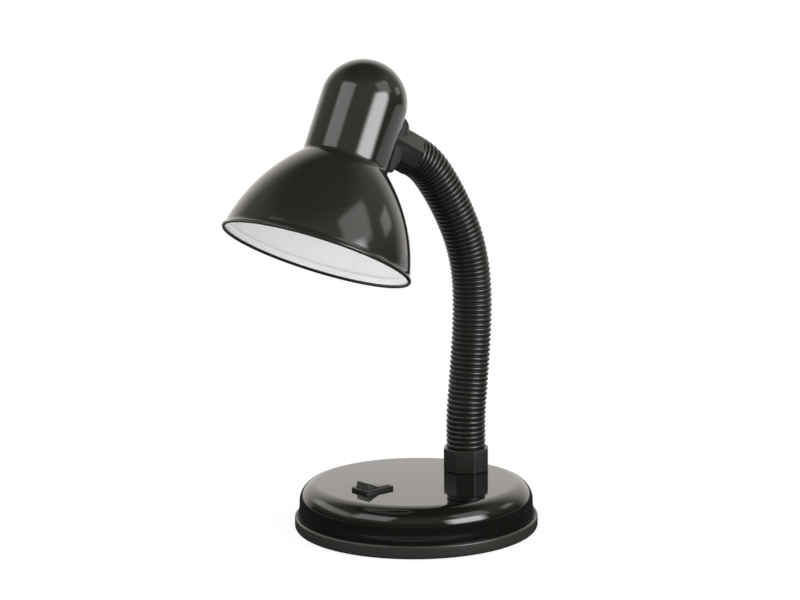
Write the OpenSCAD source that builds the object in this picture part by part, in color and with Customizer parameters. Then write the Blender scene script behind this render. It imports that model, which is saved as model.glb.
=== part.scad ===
// Desk lamp with a weighted round base, a ribbed bendable neck and a bell shade.
// Millimetres. Z is up, the table is z = 0, the origin is the middle of the base,
// the shade looks toward -Y and the neck stands on the +Y side.

/* [Base] */
// Outside diameter of the base ring
base_d = 150; // [130:1:190]
// Height of the flat top of the base above the table
base_top_z = 28; // [26:0.5:34]
// Radius of the rounded shoulder of the cover
shoulder_r = 11; // [8:0.5:13]
// Wall of the base cover
cover_wall = 2; // [1.5:0.1:2.5]
// Thickness of the foam pad under the base
pad_h = 2; // [1.8:0.1:3]
// Space between the edge of the foam pad and the ring round it
pad_margin = 2; // [1:0.5:3]
// Space between the iron weight and the screw posts round it
ballast_margin = 4; // [2:0.5:10]
// Thickness of the iron weight
ballast_h = 8; // [5:0.5:8]
// Distance of the neck's axis from the edge of the base
stem_edge = 32.4; // [30:0.1:36]
// Distance of the middle of the switch from the edge of the base
switch_edge = 40.6; // [38:0.1:44]

/* [Neck] */
// Outside diameter over the ribs
rib_d = 25; // [23:0.5:27]
// Distance from one rib to the next
rib_pitch = 3.1; // [2.9:0.05:3.4]
// Width of one rib along the neck
rib_w = 1; // [0.7:0.1:1.1]
// Depth of the groove between two ribs
groove_depth = 1.2; // [0.8:0.1:1.4]
// Wall of the sleeve under a groove
sleeve_wall = 1.3; // [1:0.1:1.6]
// Ribs on each length of the neck, from the foot up
section_ribs = [4, 6, 6, 6, 6, 6, 6, 6, 6, 7, 6, 1];
// Forward bend of each length of the neck in degrees, from the foot up
section_bend = [0, -6.5, 0.5, 1, 3, 6.5, 11, 11, 7, 8.5, 25.5, 0];
// Diameter of the ball that joins two links of the core
ball_d = 14; // [12:0.5:15]
// Diameter of the lead inside the neck
lead_d = 6; // [5:0.2:6.4]
// Height of the octagonal collar at the foot of the neck
collar_h = 14.7; // [12:0.1:18]
// Octagonal collar, measured across its corners
collar_d = 30.2; // [29:0.1:33]

/* [Shade] */
// Radius of the neck of the shade
shade_neck_r = 25.5; // [24:0.1:28]
// Radius of the arc that draws the bell
bell_r = 100.4; // [95:0.2:106]
// Distance of that arc's centre beyond the shade's axis
bell_off = 43.5; // [40:0.1:46]
// Depth of that arc's centre below the rim
bell_drop = 15.4; // [12:0.1:18]
// Height of the dome's centre above the neck's end
dome_rise = 13.5; // [12:0.5:22]
// Thickness of the shade's metal
shade_wall = 1; // [0.8:0.1:1.4]
// Radius of the rolled edge
bead_r = 1.1; // [0.9:0.1:2.2]
// Height of the neck's end above the waist of the shade
bracket_rise = 22.765; // [22:0.005:26]
// Distance from the mouth of the bracket to the shade's axis
head_reach = 43.5; // [42:0.1:46]
// Octagonal socket of the bracket, measured across its corners
socket_d = 27; // [26.8:0.1:32]
// Inside diameter of the lampholder's screw shell
screw_shell_d = 26.7; // [26:0.1:27.2]

/* [Switch] */
// Width of the switch's frame
bezel_x = 15; // [14:0.5:18]
// Length of the switch's frame
bezel_y = 21; // [20:0.5:24]
// Height of the switch's frame above the base
bezel_h = 2; // [1.5:0.1:3]
// Swing of the rocker between its two positions in degrees
rocker_swing = 22; // [16:1:24]

/* [Hidden] */
$fn = 96;
fit = 0.3;
running_fit = 0.08;
SECTIONS = len(section_bend);

// Colours
black_gloss = "#1d1e1b";
black_matt = "#2c2d2a";
rubber_black = "#232321";
steel = "#a9abad";
iron = "#55575a";
brass = "#c2a15a";
phenolic = "#3a322c";
lead_grey = "#8d8f90";

// Base heights and radii
ring_r = base_d / 2;
stem_y = ring_r - stem_edge;
switch_y = ring_r - switch_edge;
ring_gap = 0.4;
ring_top_z = 8.3;
ring_low_r = 2.2;
ring_high_r = 1.7;
ring_w = 9;
lip_drop = 1;
lip_gap = 0.3;
ledge_z = ring_top_z - lip_drop;
tray_plate = 2;
floor_z = pad_h + tray_plate;
cover_r = ring_r - ring_high_r - lip_gap;
crease_z = 14.5;
cover_flare = 1;
shoulder_cr = cover_r - cover_flare - shoulder_r;
shoulder_cz = base_top_z - shoulder_r;
ceiling_z = base_top_z - cover_wall;
post_r = 4.5;
post_inset = 12.5;
post_ring = cover_r - cover_wall - post_inset;
post_spare = 10;
pilot_r = 1.5;
pad_r = ring_r - ring_w - pad_margin;
screw_turns = [45, 135, 225, 315];
head_clear = 0.6;
screw_head_extra = 1.9;
grommet_z = 13.6;
grommet_r = 3.6;
grommet_flange_r = 4.8;
cord_bore_r = 2.9;
ballast_r = post_ring - post_r - ballast_margin;
ballast_screw_inset = 20;
ballast_screw_x = ballast_r - ballast_screw_inset;
ballast_top_z = floor_z + ballast_h;
ballast_thread_r = 2;

// Neck radii
rib_r = rib_d / 2;
groove_r = rib_r - groove_depth;
sleeve_bore_r = groove_r - sleeve_wall;
core_r = sleeve_bore_r - fit;
ball_r = ball_d / 2;
cup_r = ball_r + running_fit;
cup_out_r = core_r - 0.2;
cup_lip = 3;
cup_cover = 3;
link_neck_r = ball_r - 2;
link_neck_l = 6;
link_neck_root = 3;
mouth_slope = 0.52;
lead_r = lead_d / 2;
core_bore_r = lead_r + fit;
lead_gap = 0.3 * lead_r;
stub_r = link_neck_r;
hole_fit = 0.2;
collar_floor = 2;
foot_cuff = collar_h - collar_floor;
washer_h = 1;
washer_r = 10;
nut_h = 4;
nut_r = 8;
neck_foot_z = base_top_z + collar_h;

// Shade and bracket
neck_in_r = shade_neck_r - shade_wall;
waist_r = 4;
waist_c = [shade_neck_r + waist_r,
           sqrt(pow(bell_r + waist_r, 2) - pow(shade_neck_r + waist_r + bell_off, 2)) - bell_drop];
waist_dir = (waist_c + [bell_off, bell_drop]) / (bell_r + waist_r);
bracket_up = waist_c[1] + bracket_rise;
dome_up = bracket_up + dome_rise;
saddle_x = 24;
saddle_root = 6;
saddle_low = 19.5;
saddle_knee = 12;
saddle_brow = 8;
saddle_high = 14;
saddle_gap = 0.05;
saddle_wall_end = head_reach - shade_neck_r;
socket_floor = 1.2;
head_cuff = saddle_wall_end - socket_floor;
screw_shell_wall = 0.8;
screw_shell_r = screw_shell_d / 2;
screw_shell_l = 18;
holder_wall = 2.85;
holder_skirt_r = screw_shell_r + screw_shell_wall + holder_wall;
holder_gap = 1;
strap_t = 1.5;
strap_x = 16;
strap_edge = 9;
strap_out_y = sqrt(pow(neck_in_r, 2) - pow(strap_x / 2, 2)) - 0.05;
strap_in_y = strap_out_y - strap_t;
stub_end_y = holder_skirt_r + holder_gap;
head_nut_h = strap_in_y - stub_end_y;
holder_cap_r = holder_skirt_r - 3.5;
holder_cap_l = 18;
holder_spare = 7;
holder_step_z = bracket_up - 3;
holder_top_z = holder_step_z + holder_cap_l;
holder_mouth_z = holder_step_z - screw_shell_l - holder_spare;
contact_r = 4.5;
contact_h = 2.4;
wire_r = 1;
wire_x = 2.2;
wire_depth = 2.5;

// Switch
rocker_clear = 0.2;
bezel_wall = 1.8;
open_x = bezel_x - 2 * bezel_wall;
open_y = bezel_y - 2 * bezel_wall;
body_wall = 0.8;
body_x = open_x + 2 * body_wall;
body_y = open_y + 2 * body_wall;
housing_depth = 12;
housing_low_z = base_top_z - housing_depth;
rocker_x = open_x - 2 * rocker_clear;
rocker_r = open_y / 2 - rocker_clear;
rocker_pin_r = 1.3;
rocker_pin_z = base_top_z;
rocker_valley = bezel_h + 0.6;
rocker_rise = rocker_r * tan(rocker_swing / 2);
rocker_depth = 5;
pin_reach = body_wall - 0.1;
tab_t = 0.8;
tab_w = 4.8;
tab_l = 6.5;
tab_y = 4.2;
block_size = [18, 24, 9];
block_y = 8;
lead_bend_r = 4.5;
lead_run_z = ballast_top_z + fit + lead_r;
feed_r = 1.1;
feed_x = 4.6;
feed_z = housing_low_z - 2.4;
clip_x = 6.6;
clip_y = 3.2;
clip_z = 4.4;

// Neck geometry

// Length of section k along the neck
function section_len(k) = section_ribs[k] * rib_pitch;

// Lean of the neck's direction at the start of section k, in degrees from vertical
function lean(k) = k == 0 ? 0 : lean(k - 1) + section_bend[k - 1];

// Travel [y, z] over a run that starts at lean a, bends by b and is l long
function travel(a, b, l) = abs(b) < 0.001
    ? [-l * sin(a), l * cos(a)]
    : l / (b * PI / 180) * [cos(a + b) - cos(a), sin(a + b) - sin(a)];

// Place [y, z] of the start of section k
function section_start(k) = k == 0
    ? [stem_y, neck_foot_z]
    : section_start(k - 1) + travel(lean(k - 1), section_bend[k - 1], section_len(k - 1));

// Puts children at the start of section k, with Z along the neck
module at_section(k) {
    place = section_start(k);
    translate([0, place[0], place[1]])
        rotate([lean(k), 0, 0])
            children();
}

// Puts children in the shade's frame: Z from the rim up its axis, Y toward the neck
module at_shade() {
    at_section(SECTIONS)
        translate([0, -bracket_up, head_reach])
            rotate([-90, 0, 0])
                children();
}

// Round bar of radius r along section k, from one distance to another
module run(k, r, from, to) {
    bend = abs(section_bend[k]);
    if (bend == 0) {
        translate([0, 0, from])
            cylinder(r = r, h = to - from);
    } else {
        arc_r = section_len(k) / (bend * PI / 180);
        turn_per_mm = bend / section_len(k);
        rotate([0, 0, section_bend[k] < 0 ? 180 : 0])
            translate([0, -arc_r, 0])
                rotate([90, 0, 90])
                    rotate([0, 0, from * turn_per_mm])
                        rotate_extrude(angle = (to - from) * turn_per_mm)
                            translate([arc_r, 0])
                                circle(r = r);
    }
}

// Straight bar of radius r between the two joints of section k
module chord_bar(k, r, extra) {
    travelled = travel(0, section_bend[k], section_len(k));
    rotate([atan2(-travelled[0], travelled[1]), 0, 0])
        translate([0, 0, -extra])
            cylinder(r = r, h = norm(travelled) + 2 * extra);
}

module neck_sleeve(k) {
    first = k == 0;
    last = k == SECTIONS - 1;
    low = first ? -foot_cuff : (rib_pitch - rib_w) / 2;
    high = section_len(k) + (last ? head_cuff : -(rib_pitch - rib_w) / 2);
    color(black_matt)
    at_section(k)
        difference() {
            union() {
                run(k, groove_r, low, high);
                for (i = [0 : section_ribs[k] - 1])
                    run(k, rib_r, (i + 0.5) * rib_pitch - rib_w / 2, (i + 0.5) * rib_pitch + rib_w / 2);
            }
            run(k, sleeve_bore_r, low - 1, high + 1);
        }
}

module neck_core(k) {
    first = k == 0;
    last = k == SECTIONS - 1;
    length = section_len(k);
    color(steel)
    difference() {
        union() {
            at_section(k)
                core_body(k, first ? -foot_cuff : cup_cover, last ? head_cuff : -link_neck_l);
            if (first)
                at_section(0)
                    translate([0, 0, ceiling_z - washer_h - nut_h - 1 - neck_foot_z])
                        cylinder(r = stub_r, h = collar_h);
            else
                at_section(k)
                    intersection() {
                        sphere(r = cup_out_r);
                        translate([-core_r, -core_r, -cup_lip])
                            cube([2 * core_r, 2 * core_r, cup_lip + core_r]);
                    }
            if (last)
                at_section(k)
                    translate([0, 0, length + head_cuff - 1])
                        cylinder(r = stub_r, h = head_reach - stub_end_y - head_cuff + 1);
            else
                at_section(k + 1)
                    ball_end();
        }
        at_section(k)
            lead_bore(k, first, last);
        if (!first)
            at_section(k)
                sphere(r = cup_r);
        if (!last)
            at_section(k + 1)
                ball_countersink();
    }
}

// Thick straight part of a core link, thin enough to clear the bend of its sleeve.
// It starts at one distance from the lower joint and ends at another beyond the upper joint.
module core_body(k, from, beyond) {
    travelled = travel(0, section_bend[k], section_len(k));
    sag = section_len(k) * abs(section_bend[k]) * PI / 180 / 8;
    rotate([atan2(-travelled[0], travelled[1]), 0, 0])
        translate([0, 0, from])
            cylinder(r = core_r - sag, h = norm(travelled) + beyond - from);
}

// Ball and its neck at the upper end of a link, with the joint at the origin
module ball_end() {
    translate([0, 0, -link_neck_l - link_neck_root])
        cylinder(r = link_neck_r, h = link_neck_l + link_neck_root);
    sphere(r = ball_r);
}

// Flared mouth in a ball, which lets the lead bend at the joint
module ball_countersink() {
    below = 2;
    translate([0, 0, -below])
        cylinder(r1 = core_bore_r - below * mouth_slope, r2 = core_bore_r + ball_r * mouth_slope,
                 h = below + ball_r);
}

// Passage for the lead through the link of section k
module lead_bore(k, first, last) {
    if (first)
        translate([0, 0, -neck_foot_z])
            cylinder(r = core_bore_r, h = neck_foot_z + section_len(k) + 1);
    else if (last)
        cylinder(r = core_bore_r, h = section_len(k) + head_reach);
    else
        chord_bar(k, core_bore_r, 1);
}

module neck_lead(k) {
    first = k == 0;
    last = k == SECTIONS - 1;
    color(lead_grey)
    if (first)
        foot_lead();
    else if (last)
        at_section(k)
            head_lead();
    else
        at_section(k)
            chord_bar(k, lead_r, -lead_gap);
}

// Lead from the terminal block up through the foot of the neck
module foot_lead() {
    bend_top = lead_run_z + lead_bend_r;
    translate([0, stem_y, bend_top])
        cylinder(r = lead_r, h = neck_foot_z + section_len(0) - lead_gap - bend_top);
    translate([0, stem_y - lead_bend_r, bend_top])
        rotate([90, 0, 90])
            rotate([0, 0, -90])
                rotate_extrude(angle = 90)
                    translate([lead_bend_r, 0])
                        circle(r = lead_r);
    translate([0, block_y + block_size[1] / 2, lead_run_z])
        rotate([-90, 0, 0])
            cylinder(r = lead_r, h = stem_y - lead_bend_r - block_y - block_size[1] / 2);
}

// Lead from the last joint into the shade, ending in two bared wires
module head_lead() {
    reach = section_len(SECTIONS - 1) + head_reach;
    translate([0, 0, lead_gap])
        cylinder(r = lead_r, h = reach - stub_end_y - lead_gap);
    for (side = [-1, 1])
        translate([side * wire_x, 0, reach - stub_end_y - 1])
            cylinder(r = wire_r - 0.05, h = stub_end_y - wire_shoulder() + wire_depth + 1);
}

// Distance of the lampholder's wall from the shade's axis where a wire enters
function wire_shoulder() = sqrt(pow(holder_cap_r, 2) - pow(wire_x, 2));

// Base

// Half section of the cover, inset by t from its outside
module cover_section(t) {
    round_r = shoulder_r - t;
    union() {
        translate([shoulder_cr, shoulder_cz])
            circle(r = round_r);
        square([shoulder_cr, base_top_z - t]);
        polygon([[0, 0], [cover_r - t, 0], [cover_r - t, ledge_z],
                 [cover_r - cover_flare - t, crease_z],
                 [cover_r - cover_flare - t, shoulder_cz], [0, shoulder_cz]]);
    }
}

module base_cover() {
    color(black_gloss)
    difference() {
        union() {
            difference() {
                rotate_extrude()
                    intersection() {
                        cover_section(0);
                        translate([0, ledge_z])
                            square([ring_r, base_top_z]);
                    }
                rotate_extrude()
                    intersection() {
                        cover_section(cover_wall);
                        square([ring_r, ceiling_z]);
                    }
            }
            for (turn = screw_turns)
                rotate([0, 0, turn])
                    translate([post_ring, 0, floor_z])
                        cylinder(r = post_r, h = ceiling_z - floor_z + cover_wall / 2);
        }
        for (turn = screw_turns)
            rotate([0, 0, turn])
                translate([post_ring, 0, floor_z - 1])
                    cylinder(r = pilot_r, h = ceiling_z - floor_z - post_spare + 2);
        translate([0, stem_y, ceiling_z - 1])
            cylinder(r = stub_r + hole_fit, h = cover_wall + 2);
        translate([-body_x / 2 - hole_fit / 2, -switch_y - body_y / 2 - hole_fit / 2, ceiling_z - 1])
            cube([body_x + hole_fit, body_y + hole_fit, cover_wall + 2]);
        translate([0, cover_r - cover_wall - 4, grommet_z])
            rotate([-90, 0, 0])
                cylinder(r = grommet_r, h = cover_wall + 8);
    }
}

module base_tray() {
    color(black_matt)
    difference() {
        rotate_extrude()
            difference() {
                union() {
                    translate([0, pad_h])
                        square([ring_r - ring_w + 1, tray_plate]);
                    translate([ring_r - ring_w, ring_gap])
                        square([ring_w - ring_low_r, ledge_z - ring_gap]);
                    translate([ring_r - ring_w, ring_gap + ring_low_r])
                        square([ring_w, ring_top_z - ring_high_r - ring_gap - ring_low_r]);
                    translate([ring_r - ring_low_r, ring_gap + ring_low_r])
                        circle(r = ring_low_r);
                    intersection() {
                        translate([ring_r - ring_high_r, ring_top_z - ring_high_r])
                            circle(r = ring_high_r);
                        translate([ring_r - ring_high_r, 0])
                            square([ring_high_r, ring_top_z]);
                    }
                }
                translate([cover_r - cover_wall - lip_gap, ledge_z])
                    square([cover_wall + 2 * lip_gap, lip_drop + 1]);
            }
        for (turn = screw_turns)
            rotate([0, 0, turn])
                translate([post_ring, 0, 0])
                    cylinder(r = pilot_r + hole_fit, h = floor_z + 1);
        for (side = [-1, 1])
            translate([side * ballast_screw_x, 0, 0])
                cylinder(r = ballast_thread_r + hole_fit, h = floor_z + 1);
    }
}

module ballast_weight() {
    notch_x = body_x + 8;
    color(iron)
    difference() {
        translate([0, 0, floor_z])
            cylinder(r = ballast_r, h = ballast_h);
        translate([-notch_x / 2, -switch_y - body_y / 2 - 3, floor_z - 1])
            cube([notch_x, body_y + 6, ballast_h + 2]);
        translate([0, stem_y, floor_z - 1])
            cylinder(r = washer_r + 1, h = ballast_h + 2);
        for (side = [-1, 1])
            translate([side * ballast_screw_x, 0, floor_z - 1])
                cylinder(r = ballast_thread_r, h = ballast_h - 0.5);
    }
}

// Pan head screw that enters upward at the tray's underside
module screw_up(thread_r, length) {
    head_h = pad_h - 0.4;
    translate([0, 0, pad_h - head_h])
        cylinder(r = thread_r + screw_head_extra, h = head_h);
    translate([0, 0, pad_h - head_h / 2])
        cylinder(r = thread_r, h = length + head_h / 2);
}

module tray_screws() {
    color(steel)
    for (turn = screw_turns)
        rotate([0, 0, turn])
            translate([post_ring, 0, 0])
                screw_up(pilot_r, ceiling_z - pad_h - post_spare);
}

module ballast_screws() {
    color(steel)
    for (side = [-1, 1])
        translate([side * ballast_screw_x, 0, 0])
            screw_up(ballast_thread_r, tray_plate + ballast_h - 2);
}

module base_pad() {
    color(rubber_black)
    difference() {
        cylinder(r = pad_r, h = pad_h);
        for (turn = screw_turns)
            rotate([0, 0, turn])
                translate([post_ring, 0, -1])
                    cylinder(r = pilot_r + screw_head_extra + head_clear, h = pad_h + 2);
        for (side = [-1, 1])
            translate([side * ballast_screw_x, 0, -1])
                cylinder(r = ballast_thread_r + screw_head_extra + head_clear, h = pad_h + 2);
    }
}

module cord_grommet() {
    wall_y = cover_r - cover_flare;
    flange = 1.6;
    flare_here = cover_flare * (crease_z - grommet_z + grommet_flange_r) / (crease_z - ledge_z);
    flange_start = flare_here + 0.06;
    color(rubber_black)
    translate([0, wall_y, grommet_z])
        rotate([-90, 0, 0])
            difference() {
                union() {
                    translate([0, 0, flange_start])
                        cylinder(r = grommet_flange_r, h = flange);
                    translate([0, 0, -cover_wall - flange - 0.4])
                        cylinder(r = grommet_flange_r, h = flange);
                    translate([0, 0, -cover_wall - flange])
                        cylinder(r = grommet_r, h = cover_wall + 2 * flange + flange_start / 2);
                }
                translate([0, 0, -cover_wall - 2 * flange])
                    cylinder(r = cord_bore_r, h = cover_wall + 5 * flange);
            }
}

module terminal_block() {
    half_y = block_size[1] / 2;
    color("white")
    difference() {
        translate([-block_size[0] / 2, block_y - half_y, ballast_top_z])
            cube(block_size);
        for (side = [-1, 1])
            translate([side * feed_x, block_y - half_y - 1, feed_z])
                rotate([-90, 0, 0])
                    cylinder(r = feed_r, h = 4);
        for (side = [-1, 1])
            for (back = [-6, 6])
                translate([side * feed_x, block_y + back, ballast_top_z + block_size[2] - 3])
                    cylinder(r = 1.8, h = 4);
    }
}

// Switch

module switch_housing() {
    color(black_matt)
    difference() {
        union() {
            translate([-bezel_x / 2, -switch_y - bezel_y / 2, base_top_z])
                cube([bezel_x, bezel_y, bezel_h]);
            translate([-body_x / 2, -switch_y - body_y / 2, housing_low_z])
                cube([body_x, body_y, housing_depth + bezel_h / 2]);
        }
        translate([-open_x / 2, -switch_y - open_y / 2, housing_low_z + 2])
            cube([open_x, open_y, housing_depth + bezel_h]);
        translate([-body_x, -switch_y, rocker_pin_z])
            rotate([0, 90, 0])
                cylinder(r = rocker_pin_r + running_fit, h = 2 * body_x);
        for (end = [-1, 1])
            translate([-tab_w / 2, -switch_y + end * tab_y - tab_t / 2, housing_low_z - 1])
                cube([tab_w, tab_t, 4]);
    }
}

// Rocker in its resting position: the front end is up
module switch_rocker() {
    color(black_matt)
    translate([0, -switch_y, rocker_pin_z])
        rotate([-rocker_swing / 2, 0, 0]) {
            translate([-rocker_x / 2, 0, 0])
                rotate([90, 0, 90])
                    linear_extrude(rocker_x)
                        intersection() {
                            circle(r = rocker_r);
                            polygon([[0, rocker_valley], [rocker_r, rocker_valley + rocker_rise],
                                     [rocker_r, -1], [3, -rocker_depth], [-3, -rocker_depth],
                                     [-rocker_r, -1], [-rocker_r, rocker_valley + rocker_rise]]);
                        }
            translate([-open_x / 2 - pin_reach, 0, 0])
                rotate([0, 90, 0])
                    cylinder(r = rocker_pin_r, h = open_x + 2 * pin_reach);
        }
}

module switch_terminals() {
    color(brass)
    for (end = [-1, 1])
        translate([-tab_w / 2, -switch_y + end * tab_y - tab_t / 2, housing_low_z - tab_l])
            cube([tab_w, tab_t, tab_l + 2.6]);
}

// Two wires from the terminal block, each with a push-on clip over a switch terminal
module switch_wires() {
    half_y = block_size[1] / 2;
    clip_low_z = housing_low_z - 0.3 - clip_z;
    color("#b9bcc0")
    for (end = [-1, 1]) {
        place_y = -switch_y + end * tab_y;
        difference() {
            union() {
                translate([-clip_x / 2, place_y - clip_y / 2, clip_low_z])
                    cube([clip_x, clip_y, clip_z]);
                translate([end * feed_x, place_y, feed_z])
                    rotate([-90, 0, 0])
                        cylinder(r = feed_r - 0.05, h = block_y - half_y - place_y + 2);
                translate([end > 0 ? 0 : -feed_x - feed_r, place_y - clip_y / 2, clip_low_z])
                    cube([feed_x + feed_r, clip_y, clip_z]);
            }
            translate([-tab_w / 2, place_y - tab_t / 2, clip_low_z - 1])
                cube([tab_w, tab_t, clip_z + 2]);
        }
    }
}

// Foot of the neck

// Octagonal prism with its top edges bevelled
module octagon_body(d, h, bevel) {
    intersection() {
        rotate([0, 0, 22.5])
            cylinder(d = d, h = h, $fn = 8);
        cylinder(r1 = d / 2 + h - bevel, r2 = d / 2 - bevel, h = h);
    }
}

module foot_collar() {
    color(black_matt)
    translate([0, stem_y, base_top_z])
        difference() {
            octagon_body(collar_d, collar_h, 0.8);
            translate([0, 0, collar_floor])
                cylinder(r = groove_r + 0.05, h = collar_h);
            translate([0, 0, -1])
                cylinder(r = stub_r + hole_fit, h = collar_floor + 2);
        }
}

module foot_washer() {
    color(steel)
    translate([0, stem_y, ceiling_z - washer_h])
        difference() {
            cylinder(r = washer_r, h = washer_h);
            translate([0, 0, -1])
                cylinder(r = stub_r + hole_fit, h = washer_h + 2);
        }
}

// Hexagon nut with its bore on Z
module hex_nut(h) {
    difference() {
        cylinder(r = nut_r, h = h, $fn = 6);
        translate([0, 0, -1])
            cylinder(r = stub_r, h = h + 2);
    }
}

module foot_nut() {
    color(steel)
    translate([0, stem_y, ceiling_z - washer_h - nut_h])
        hex_nut(nut_h);
}

// Head

// Socket for the neck with a saddle that hugs the shade
module head_bracket() {
    color(black_matt)
    at_shade()
        difference() {
            union() {
                translate([0, shade_neck_r - 5, bracket_up])
                    rotate([-90, 0, 0])
                        cylinder(d = socket_d, h = saddle_wall_end + 5, $fn = 8);
                translate([-saddle_x / 2, 0, 0])
                    rotate([90, 0, 90])
                        linear_extrude(saddle_x)
                            polygon([[shade_neck_r - saddle_root, bracket_up - saddle_low],
                                     [shade_neck_r + 1.6, bracket_up - saddle_low],
                                     [shade_neck_r + 5.5, bracket_up - saddle_knee],
                                     [shade_neck_r + 6, bracket_up + saddle_brow],
                                     [shade_neck_r + 0.8, bracket_up + saddle_high],
                                     [shade_neck_r - saddle_root, bracket_up + saddle_high]]);
            }
            cylinder(r = shade_neck_r + saddle_gap, h = 2 * dome_up);
            translate([0, shade_neck_r + socket_floor, bracket_up])
                rotate([-90, 0, 0])
                    cylinder(r = groove_r + 0.05, h = head_reach);
            translate([0, 0, bracket_up])
                rotate([-90, 0, 0])
                    cylinder(r = stub_r + hole_fit, h = head_reach);
        }
}

// Half section of the shade's outline, inset by t
module shade_section(t) {
    side_r = shade_neck_r - t;
    arc_r = bell_r - t;
    bell_touch = waist_c - (waist_r + t) * waist_dir;
    union() {
        intersection() {
            translate([0, dome_up])
                circle(r = side_r);
            translate([0, dome_up])
                square([side_r, side_r]);
        }
        translate([0, waist_c[1] - 1])
            square([side_r, dome_up - waist_c[1] + 1]);
        intersection() {
            translate([-bell_off, -bell_drop])
                circle(r = arc_r);
            square([bell_r, waist_c[1]]);
        }
        difference() {
            polygon([[0, bell_touch[1]], bell_touch, waist_c, [0, waist_c[1]]]);
            translate(waist_c)
                circle(r = waist_r + t);
        }
    }
}

module shade() {
    bead_up = bead_r + 0.6;
    bead_c = sqrt(pow(bell_r, 2) - pow(bell_drop + bead_up, 2)) - bell_off - bead_r + 0.8;
    color(black_gloss)
    at_shade()
        difference() {
            union() {
                rotate_extrude()
                    difference() {
                        intersection() {
                            shade_section(0);
                            translate([0, bead_up])
                                square([bell_r, 2 * dome_up]);
                        }
                        shade_section(shade_wall);
                    }
                rotate_extrude()
                    translate([bead_c, bead_up])
                        circle(r = bead_r);
            }
            translate([0, 0, bracket_up])
                rotate([-90, 0, 0])
                    cylinder(r = stub_r + hole_fit, h = head_reach);
        }
}

module head_nut() {
    color(steel)
    at_shade()
        translate([0, stub_end_y, bracket_up])
            rotate([-90, 0, 0])
                hex_nut(head_nut_h);
}

// Angle strip that holds the lampholder, clamped by the nut inside the shade
module lampholder_strap() {
    color(steel)
    at_shade()
        difference() {
            union() {
                translate([-strap_x / 2, strap_in_y, bracket_up - strap_edge])
                    cube([strap_x, strap_t, holder_top_z + strap_t - bracket_up + strap_edge]);
                translate([-strap_x / 2, -strap_edge, holder_top_z])
                    cube([strap_x, strap_edge + strap_out_y, strap_t]);
            }
            translate([0, 0, bracket_up])
                rotate([-90, 0, 0])
                    cylinder(r = stub_r + hole_fit, h = head_reach);
            translate([0, 0, holder_top_z - 1])
                cylinder(r = stub_r + hole_fit, h = strap_t + 2);
        }
}

module lampholder_body() {
    color(phenolic)
    at_shade()
        difference() {
            union() {
                translate([0, 0, holder_mouth_z])
                    cylinder(r = holder_skirt_r, h = holder_step_z - holder_mouth_z);
                translate([0, 0, holder_step_z - 1])
                    cylinder(r = holder_cap_r, h = holder_top_z - holder_step_z + 1);
                translate([0, 0, holder_top_z - 1])
                    cylinder(r = stub_r, h = strap_t + nut_h + 2);
            }
            translate([0, 0, holder_mouth_z - 1])
                cylinder(r = screw_shell_r + screw_shell_wall, h = holder_step_z - holder_mouth_z - 1);
            for (side = [-1, 1])
                translate([side * wire_x, wire_shoulder() - wire_depth - 0.3, bracket_up])
                    rotate([-90, 0, 0])
                        cylinder(r = wire_r, h = holder_cap_r);
        }
}

module lampholder_shell() {
    color(brass)
    at_shade()
        translate([0, 0, holder_mouth_z + 1])
            difference() {
                cylinder(r = screw_shell_r + screw_shell_wall, h = screw_shell_l);
                translate([0, 0, -1])
                    cylinder(r = screw_shell_r, h = screw_shell_l + 2);
            }
}

module lampholder_contact() {
    color(brass)
    at_shade()
        translate([0, 0, holder_step_z - 2 - contact_h])
            union() {
                cylinder(r = contact_r, h = contact_h);
                translate([0, 0, -1.2])
                    cylinder(r = contact_r / 2, h = contact_h);
            }
}

module lampholder_nut() {
    color(steel)
    at_shade()
        translate([0, 0, holder_top_z + strap_t])
            hex_nut(nut_h);
}

base_cover();
base_tray();
ballast_weight();
ballast_screws();
tray_screws();
base_pad();
cord_grommet();
switch_housing();
switch_rocker();
switch_terminals();
terminal_block();
switch_wires();
foot_collar();
foot_washer();
foot_nut();
for (k = [1 : SECTIONS]) {
    neck_sleeve(k - 1);
    neck_core(k - 1);
    neck_lead(k - 1);
}
head_bracket();
head_nut();
shade();
lampholder_body();
lampholder_shell();
lampholder_contact();
lampholder_strap();
lampholder_nut();
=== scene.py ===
"""Desk lamp with a weighted round base, a ribbed bendable neck and a bell shade.

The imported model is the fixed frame. Every piece made here lies in that frame, in metres.
"""
import logging
import math
from collections.abc import Iterable
from dataclasses import dataclass, field
from enum import Enum

import bmesh
import bpy
import numpy as np
from mathutils import Matrix, Vector


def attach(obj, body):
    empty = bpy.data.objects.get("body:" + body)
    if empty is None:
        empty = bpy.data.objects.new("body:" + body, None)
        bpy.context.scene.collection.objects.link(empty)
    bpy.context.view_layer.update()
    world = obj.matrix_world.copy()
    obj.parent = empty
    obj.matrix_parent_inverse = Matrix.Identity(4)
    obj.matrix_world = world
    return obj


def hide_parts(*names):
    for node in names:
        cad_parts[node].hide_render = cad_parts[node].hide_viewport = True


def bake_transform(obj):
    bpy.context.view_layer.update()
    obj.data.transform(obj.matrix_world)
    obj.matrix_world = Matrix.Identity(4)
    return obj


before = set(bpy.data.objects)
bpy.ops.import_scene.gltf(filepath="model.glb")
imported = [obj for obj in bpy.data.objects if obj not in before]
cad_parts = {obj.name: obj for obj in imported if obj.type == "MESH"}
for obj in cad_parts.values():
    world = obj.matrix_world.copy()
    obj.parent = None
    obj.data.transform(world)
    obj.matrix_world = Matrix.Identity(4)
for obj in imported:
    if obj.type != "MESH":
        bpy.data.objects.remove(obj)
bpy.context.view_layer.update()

LOG = logging.getLogger("desk_lamp")
MM = 0.001
NO_BEND = 1e-9  # radians below which a run of the neck counts as straight
NO_LENGTH = 1e-6  # share of a rib that counts as nothing
AXIS_R = 0.01  # radius at which a closed section meets its axis
EIGHTH = math.pi / 8  # half a side of an octagon
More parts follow.
